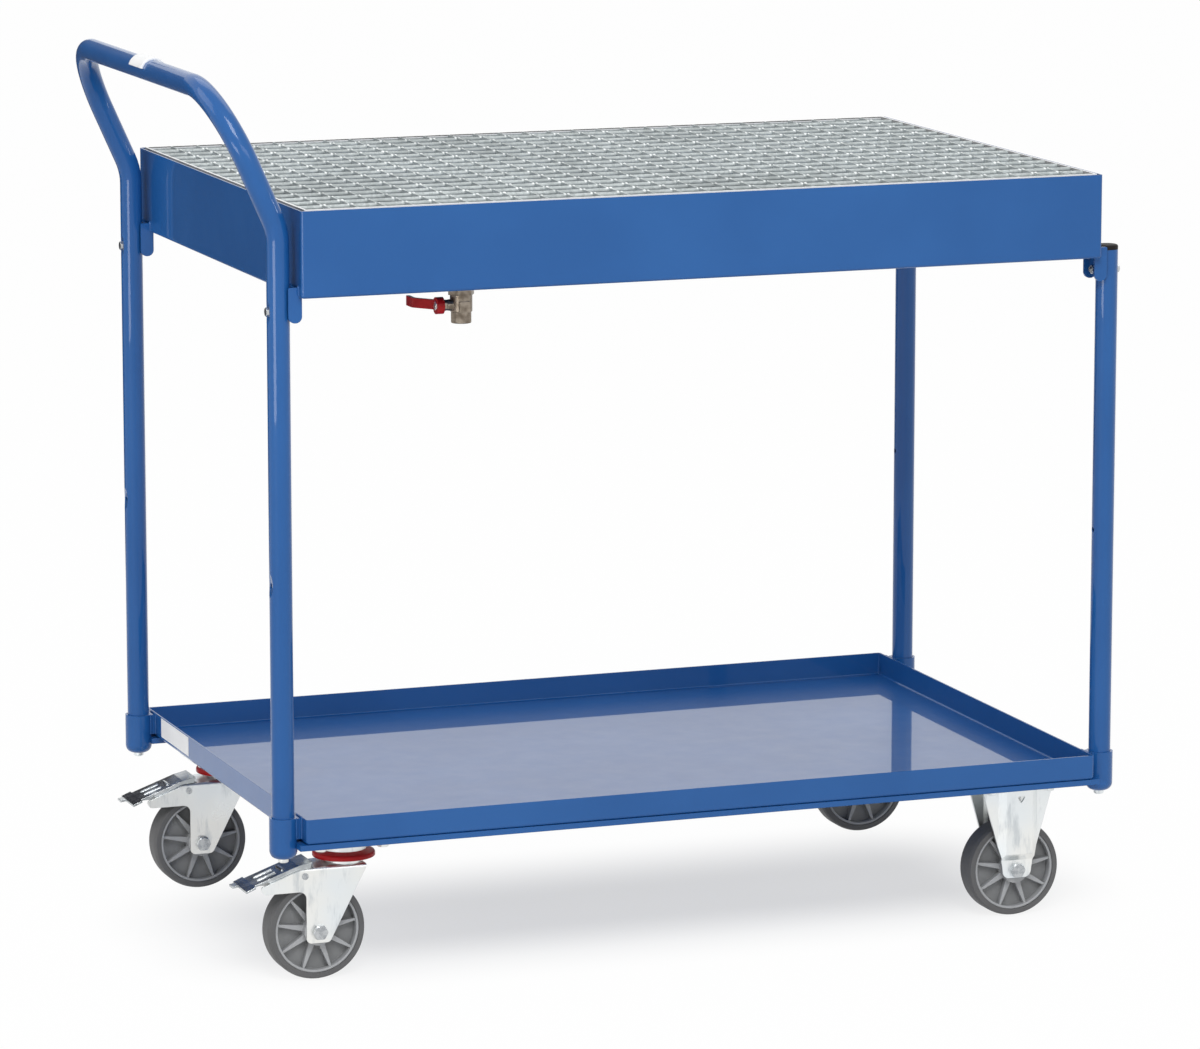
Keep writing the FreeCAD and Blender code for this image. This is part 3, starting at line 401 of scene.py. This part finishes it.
# Parts that don't wear their slot's own finish
SPECIAL_FINISHES = {
    # The pedals' darker zinc is a painted reflection, and their bright edges a painted highlight.
    "trodden_zinc": ("front_brake_pedal", "back_brake_pedal"),
    # The brake pins wear the darker bolt zinc as painted shade, standing in for the gap round them.
    "bolt_zinc": ("front_brake_pin", "back_brake_pin", "front_swivel_axle", "back_swivel_axle",
                  "fixed_axle_bolts", "bracket_bolts", "bracket_nuts"),
    # The grating frame wears a painted highlight band and a painted shade line along its top.
    "edge_zinc": ("grating_frame",),
}


def dress_parts():
    """Gives each part the finish of its material slot, or its special one."""
    special = {node: finish for finish, nodes in SPECIAL_FINISHES.items() for node in nodes}
    for sub in record["subparts"]:
        finish = special.get(sub["node"], sub["material_slot"])
        for slot in parts[sub["node"]].material_slots:
            slot.material = FINISHES[finish]


# Details grown along lines and on points
class Grower(Tree):
    """A Geometry Nodes tree with named sizes. What it grows is kept as a plain mesh."""

    def __init__(self, name, **sizes):
        group = bpy.data.node_groups.new(name, "GeometryNodeTree")
        super().__init__(group)
        self.sizes = {}
        group.interface.new_socket("Geometry", in_out="INPUT", socket_type="NodeSocketGeometry")
        for label, value in sizes.items():
            socket = group.interface.new_socket(label, in_out="INPUT", socket_type="NodeSocketFloat")
            self.sizes[socket.identifier] = value
        group.interface.new_socket("Geometry", in_out="OUTPUT", socket_type="NodeSocketGeometry")
        self.entry = group.nodes.new("NodeGroupInput")

    def given(self, label):
        """One of the tree's named inputs."""
        return Out(self, self.entry.outputs[label])

    def close(self, geometry, finish):
        """Ends the tree with real, smooth geometry in a finish."""
        geometry = self.add("GeometryNodeRealizeInstances", {}, {0: geometry})
        geometry = self.add("GeometryNodeSetShadeSmooth", {}, {0: geometry})
        geometry = self.add("GeometryNodeSetMaterial", {}, {0: geometry, "Material": FINISHES[finish]})
        self.add("NodeGroupOutput", {}, {0: geometry})

    def grow(self, name, body, slot, lines):
        """Grows the tree on lines of points, a line of one point being a spot, and rides it on a body."""
        points, steps = [], []
        for line in lines:
            first = len(points)
            points += line
            steps += [(i, i + 1) for i in range(first, len(points) - 1)]
        mesh = bpy.data.meshes.new(name)
        mesh.from_pydata(points, steps, [])
        piece = bpy.data.objects.new(name, mesh)
        bpy.context.scene.collection.objects.link(piece)
        modifier = piece.modifiers.new(name, "NODES")
        modifier.node_group = self.tree
        for identifier, value in self.sizes.items():
            modifier[identifier] = value
        evaluated = piece.evaluated_get(bpy.context.evaluated_depsgraph_get())
        piece.data = bpy.data.meshes.new_from_object(evaluated)
        piece.modifiers.remove(modifier)
        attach(piece, body)


def weld_tree():
    """A painted weld bead along each line, with the ripples of a hand-drawn torch."""
    g = Grower("weld_bead", Width=0.0019, Ripple=0.0021, Step=0.0007)
    line = g.add("GeometryNodeMeshToCurve", {}, {0: g.given("Geometry")})
    line = g.add("GeometryNodeResampleCurve", {"mode": "LENGTH"}, {"Curve": line, "Length": g.given("Step")})
    run = g.add("GeometryNodeSplineParameter", {}, {}, "Length")
    wave = (run * (2 * math.pi) / g.given("Ripple")).maths("SINE")
    wander = g.add("ShaderNodeTexNoise", {}, {"Scale": 160.0})
    width = g.given("Width") * (0.7 + 0.12 * wave + 0.5 * wander)
    ring = g.add("GeometryNodeCurvePrimitiveCircle", {}, {"Resolution": 8, "Radius": 1.0})
    bead = g.add("GeometryNodeCurveToMesh", {},
                 {"Curve": line, "Profile Curve": ring, "Scale": width, "Fill Caps": True})
    g.close(bead, "blue_paint")
    return g


def knot_tree():
    """A lump of zinc left by the dip on each point, no two quite alike."""
    g = Grower("zinc_knot", Width=0.0021, Length=0.0030, Height=0.0020, Spread=0.25)
    ball = g.add("GeometryNodeMeshUVSphere", {}, {"Radius": 1.0, "Segments": 8, "Rings": 4})
    size = g.add("FunctionNodeRandomValue", {"data_type": "FLOAT"},
                 {2: 1 - g.given("Spread"), 3: 1 + g.given("Spread"), "Seed": 5}, 1)
    sides = {i: size * g.given(side) for i, side in enumerate(("Width", "Length", "Height"))}
    scale = g.add("ShaderNodeCombineXYZ", {}, sides)
    knots = g.add("GeometryNodeInstanceOnPoints", {},
                  {"Points": g.given("Geometry"), "Instance": ball, "Scale": scale})
    # Knots in the lighter zinc, a painted highlight.
    g.close(knots, "bright_zinc")
    return g


def spread(low, high, pitch):
    """Places of the grating's bars between two edges, as the part spaces them."""
    count = round((high - low) / pitch)
    return [low + (high - low) * i / count for i in range(1, count)]


def grating_knots():
    """Two zinc knots at each crossing, one on either side of the bearing bar."""
    low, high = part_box("grating_frame")
    below_top = 0.0013
    beside = 0.0024
    height = high.z - below_top
    bars = spread(low.x, high.x, BAR_PITCH)
    rods = spread(low.y, high.y, ROD_PITCH)
    spots = [(x + side, y, height) for x in bars for y in rods for side in (-beside, beside)]
    knot_tree().grow("grating_zinc_knots", "grating", "galvanised_steel", [[spot] for spot in spots])


def lug_welds(wall, post, way, y, low, high):
    """Beads round one socket's lug: on the tray's end wall and down the socket's side."""
    half_lug = 0.0102
    socket_reach = 0.0139
    socket_side = post - way * socket_reach
    near, far = y - half_lug, y + half_lug
    yield [(wall, near, low), (wall, near, high), (wall, far, high), (wall, far, low)]
    for side in (near, far):
        yield [(socket_side, side, low), (socket_side, side, high)]


def bracket_welds(wall, way, y, bottom):
    """Beads up the outside of both flanges of a bracket, from under the tray to the flange's top."""
    bend, corner, sink = 0.0038, 0.0012, 0.0004
    flange_top, over_top = 0.0125, 0.0127
    flange_outside, flange_inside = 0.0173, 0.0143
    for side in (-1, 1):
        outer, inner = y + side * flange_outside, y + side * flange_inside
        yield [(wall - way * bend, outer, bottom - sink), (wall - way * corner, outer, bottom + corner),
               (wall, outer, bottom + bend), (wall, outer, bottom + flange_top),
               (wall, inner, bottom + over_top)]


def stitches(start, end, gap, length):
    """Short runs of bead between two points, one every gap."""
    start, end = Vector(start), Vector(end)
    along = (end - start).normalized()
    count = int((end - start).length / gap)
    first = ((end - start).length - (count - 1) * gap) / 2
    for i in range(count):
        middle = start + along * (first + i * gap)
        yield [tuple(middle - along * length / 2), tuple(middle + along * length / 2)]


def base_welds(rail, channel_boxes, under):
    """Stitches that hold the rails and cross channels under the lower tray."""
    stitch = 0.04
    rail_gap, channel_gap = 0.15, 0.12
    clear, inset = 0.01, 0.004
    bottom = rail[0].z
    start, end = channel_boxes[0][1].x + clear, channel_boxes[1][0].x - clear
    for y in (-rail[0].y, rail[0].y):
        yield from stitches((start, y, under), (end, y, under), rail_gap, stitch)
        for low, high in channel_boxes:
            yield [(low.x + inset, y, bottom), (high.x - inset, y, bottom)]
    for low, high in channel_boxes:
        for x in (low.x, high.x):
            yield from stitches((x, low.y, under), (x, high.y, under), channel_gap, stitch)


def weld_frame():
    """All the frame's weld beads, as one piece."""
    lower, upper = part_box("lower_tray"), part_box("upper_tray")
    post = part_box("far_back_post")
    post_x, post_y = (post[0].x + post[1].x) / 2, (post[0].y + post[1].y) / 2
    middle = (lower[0].x + lower[1].x) / 2
    lug_bottom, lug_top = lower[0].z + 0.0045, lower[1].z - 0.0014
    lines = []
    for way in (-1, 1):
        wall = middle + way * (lower[1].x - middle)
        socket = middle + way * (post_x - middle)
        for y in (-post_y, post_y):
            lines += lug_welds(wall, socket, way, y, lug_bottom, lug_top)
            lines += bracket_welds(wall, way, y, upper[0].z)
    channel_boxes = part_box("handle_end_channel"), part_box("far_end_channel")
    lines += base_welds(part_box("back_rail"), channel_boxes, lower[0].z)
    weld_tree().grow("frame_welds", "frame", "blue_paint", lines)


# Camera, light and floor
def place_camera():
    """The photo's camera, moved a little left and down from where it would look straight at its aim."""
    turn, tip = CAMERA_TURN, CAMERA_TIP
    ahead = Vector((-math.sin(turn) * math.cos(tip), math.cos(turn) * math.cos(tip), -math.sin(tip)))
    right = Vector((math.cos(turn), math.sin(turn), 0))
    up = right.cross(ahead)
    data = bpy.data.cameras.new("photo_camera")
    data.sensor_fit = "HORIZONTAL"
    data.sensor_width = SENSOR_WIDTH
    data.lens = SENSOR_WIDTH * FOCAL_LENGTH / PHOTO_WIDTH
    camera = bpy.data.objects.new("photo_camera", data)
    place = CAMERA_AIM - CAMERA_AWAY * ahead - CAMERA_LEFT * right - CAMERA_DOWN * up
    camera.matrix_world = Matrix.Translation(place) @ Matrix((right, up, -ahead)).transposed().to_4x4()
    bpy.context.scene.collection.objects.link(camera)
    bpy.context.scene.camera = camera


def place_lamp(name, place, aim, width, height, power):
    """A soft box of a width and height, turned from its place towards its aim."""
    data = bpy.data.lights.new(name, "AREA")
    data.shape = "RECTANGLE"
    data.size = width
    data.size_y = height
    data.energy = power
    lamp = bpy.data.objects.new(name, data)
    lamp.location = place
    lamp.rotation_euler = (Vector(aim) - Vector(place)).to_track_quat("-Z", "Y").to_euler()
    bpy.context.scene.collection.objects.link(lamp)


def seen(tree):
    """1 for rays from the camera, through glass or off a mirror, 0 for the light that falls on things."""
    kinds = [tree.add("ShaderNodeLightPath", {}, {}, name)
             for name in ("Is Camera Ray", "Is Transmission Ray", "Is Glossy Ray")]
    return (kinds[0] + kinds[1] + kinds[2]).clipped()


def light_studio():
    """White surroundings that light the trolley only a little, and the soft lamps."""
    dim = 0.38
    world = bpy.data.worlds.new("studio")
    world.use_nodes = True
    bpy.context.scene.world = world
    tree = Tree(world.node_tree)
    tree.tree.nodes.clear()
    strength = dim + (1 - dim) * seen(tree)
    shade = tree.add("ShaderNodeBackground", {}, {"Color": (1, 1, 1), "Strength": strength})
    tree.add("ShaderNodeOutputWorld", {}, {"Surface": shade})
    for name, lamp in LAMPS.items():
        place_lamp(name, *lamp)
    bpy.context.scene.view_settings.view_transform = "Standard"


def flat_panel(name, corners):
    """A four-cornered sheet of the studio, not of the trolley."""
    mesh = bpy.data.meshes.new(name)
    mesh.from_pydata(corners, [], [(0, 1, 2, 3)])
    panel = bpy.data.objects.new(name, mesh)
    bpy.context.scene.collection.objects.link(panel)
    return panel


def lay_floor():
    """White floor that glows a little less under the trolley: a painted shadow there, under which its real
    shadow also shows.
    """
    size = 40
    shadow = {"X": (0.03, 0.42), "Y": (-0.03, 0.06)}  # middle and half size
    shadow_edge = 0.28
    glow_inside, glow_more = 0.62, 0.365
    corners = [(-size, -size, 0), (size, -size, 0), (size, size, 0), (-size, size, 0)]
    floor = flat_panel("studio_floor", corners)
    f = Finish("studio_floor")
    outside = []
    for axis, (middle, half) in shadow.items():
        distance = (f.along(axis) - middle).maths("ABSOLUTE")
        outside.append((distance - half).maths("MAXIMUM", 0.0) ** 2)
    away = (outside[0] + outside[1]) ** 0.5
    matt = f.add("ShaderNodeBsdfDiffuse", {}, {"Color": (0.8, 0.8, 0.8)})
    glow = f.add("ShaderNodeEmission", {}, {"Color": (1, 1, 1), "Strength": 1.0})
    # Less glow inside the shadow box: a painted shadow.
    share = seen(f) * (glow_inside + glow_more * away.between(0.0, shadow_edge))
    both = f.add("ShaderNodeMixShader", {}, {0: share, 1: matt, 2: glow})
    f.add("ShaderNodeOutputMaterial", {}, {"Surface": both})
    floor.data.materials.append(f.material)


def stand_card():
    """Dark card behind on the left, out of the picture, that darkens what the end walls mirror."""
    left, right, back, bottom, top = -3.2, -0.25, 2.4, 0.02, 1.85
    corners = [(left, back, bottom), (right, back, bottom), (right, back, top), (left, back, top)]
    card = flat_panel("dark_card", corners)
    f = Finish("dark_card")
    matt = f.add("ShaderNodeBsdfDiffuse", {}, {"Color": (0.07, 0.07, 0.08)})
    f.add("ShaderNodeOutputMaterial", {}, {"Surface": matt})
    card.data.materials.append(f.material)
    card.visible_camera = False
    card.visible_diffuse = False
    card.visible_shadow = False


dress_parts()
weld_frame()
grating_knots()
place_camera()
light_studio()
lay_floor()
stand_card()
